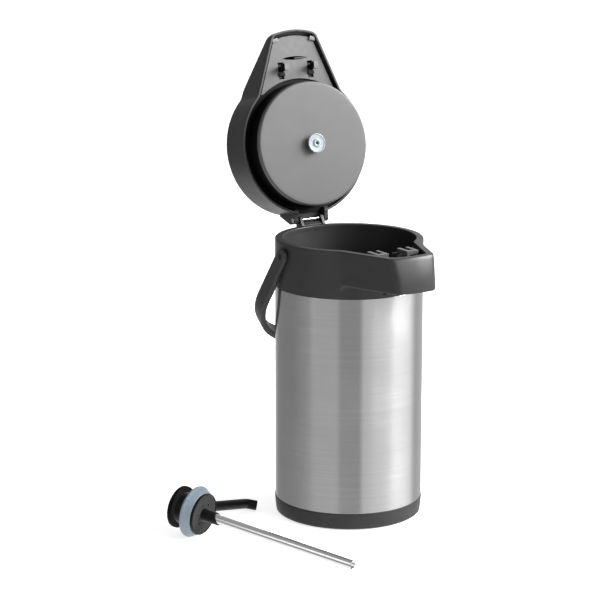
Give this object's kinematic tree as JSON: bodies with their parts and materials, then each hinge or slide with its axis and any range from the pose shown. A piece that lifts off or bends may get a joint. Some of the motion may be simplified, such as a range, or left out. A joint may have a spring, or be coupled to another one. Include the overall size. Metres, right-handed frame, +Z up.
{
  "type": "thermal coffee airpot",
  "caption": "Steel thermal airpot with a pouring nose, swung-open pump lid, hanging bail handle, swivel base and its pump stopper with siphon tube lying beside it.",
  "frame": {"origin": "centre of the rubber ring the pot stands on, at mount standing_face, on the surface it stands on", "axes": "+Z up along the pot's axis, -Y towards the pouring nose, +X along the lid's hinge pin and the handle's pivots"},
  "size_m": [0.3153, 0.3323, 0.5334],
  "materials": {
    "charcoal_plastic": "fine moulded texture, satin",
    "black_plastic": "fine moulded texture",
    "grey_plastic": "fine moulded texture, satin",
    "catch_plastic": "glossy moulded",
    "vent_plastic": "fine moulded texture",
    "brushed_body": "brushed around the body",
    "steel_sheet": "satin",
    "bright_steel": "bright",
    "polished_tube": "polished along the tube",
    "white_silicone": "translucent, slightly blue",
    "blue_silicone": "translucent, blue-grey",
    "black_rubber": "matte"
  },
  "bodies": {
    "swivel_base": {"base_swivel_disc": "black_plastic", "base_foot_ring": "black_rubber"},
    "pot": {"base_ring": "charcoal_plastic", "bottom_cover": "black_plastic", "bottom_screws": "bright_steel", "swivel_retainer": "bright_steel", "outer_shell": "brushed_body", "flask_liner": "steel_sheet", "vacuum_bottom": "steel_sheet", "collar": "charcoal_plastic", "inner_bowl": "black_plastic", "neck_gasket": "white_silicone", "lid_catches": "catch_plastic", "hinge_pin": "bright_steel"},
    "handle": {"carry_handle": "charcoal_plastic", "handle_retainers": "bright_steel"},
    "lid": {"lid_cover": "charcoal_plastic", "lid_base_plate": "grey_plastic", "bellows_chamber": "grey_plastic", "chamber_screws": "bright_steel", "air_nipple": "white_silicone", "bellows": "black_rubber", "button_spring": "bright_steel"},
    "button": {"push_button": "charcoal_plastic", "bellows_plate": "black_plastic"},
    "latch": {"latch_slider": "black_plastic"},
    "stopper": {"stopper_flange": "charcoal_plastic", "stopper_body": "black_plastic", "stopper_seal": "blue_silicone", "vent_plate": "vent_plastic", "tube_connector": "black_plastic", "siphon_tube": "polished_tube", "spout_pipe": "charcoal_plastic", "spout_o_ring": "black_rubber", "check_ball": "bright_steel"}
  },
  "joints": [
    {"name": "base_swivel", "type": "hinge", "parent": "swivel_base", "child": "pot", "pos_m": [0, 0, 0], "axis": [0, 0, 1], "continuous": true},
    {"name": "lid_hinge", "type": "hinge", "parent": "pot", "child": "lid", "pos_m": [0, 0.0845, 0.3213], "axis": [1, 0, 0], "range_deg": [0, 101.3]},
    {"name": "handle_pivot", "type": "hinge", "parent": "pot", "child": "handle", "pos_m": [0, 0.002, 0.301], "axis": [1, 0, 0], "range_deg": [0, 63]},
    {"name": "push_button", "type": "slide", "parent": "lid", "child": "button", "axis": [0, -0.9806, 0.1959], "range_m": [0, 0.02], "stiffness_N_per_m": 400, "springref_m": -0.01, "deforming": ["bellows", "button_spring"]},
    {"name": "latch_slide", "type": "slide", "parent": "lid", "child": "latch", "axis": [0, 0.1959, 0.9806], "range_m": [0, 0.004]},
    {"name": "stopper_lift", "type": "slide", "parent": "swivel_base", "child": "stopper", "axis": [-0.35, 0, 0.9367], "range_m": [0, 0.3]}
  ]
}
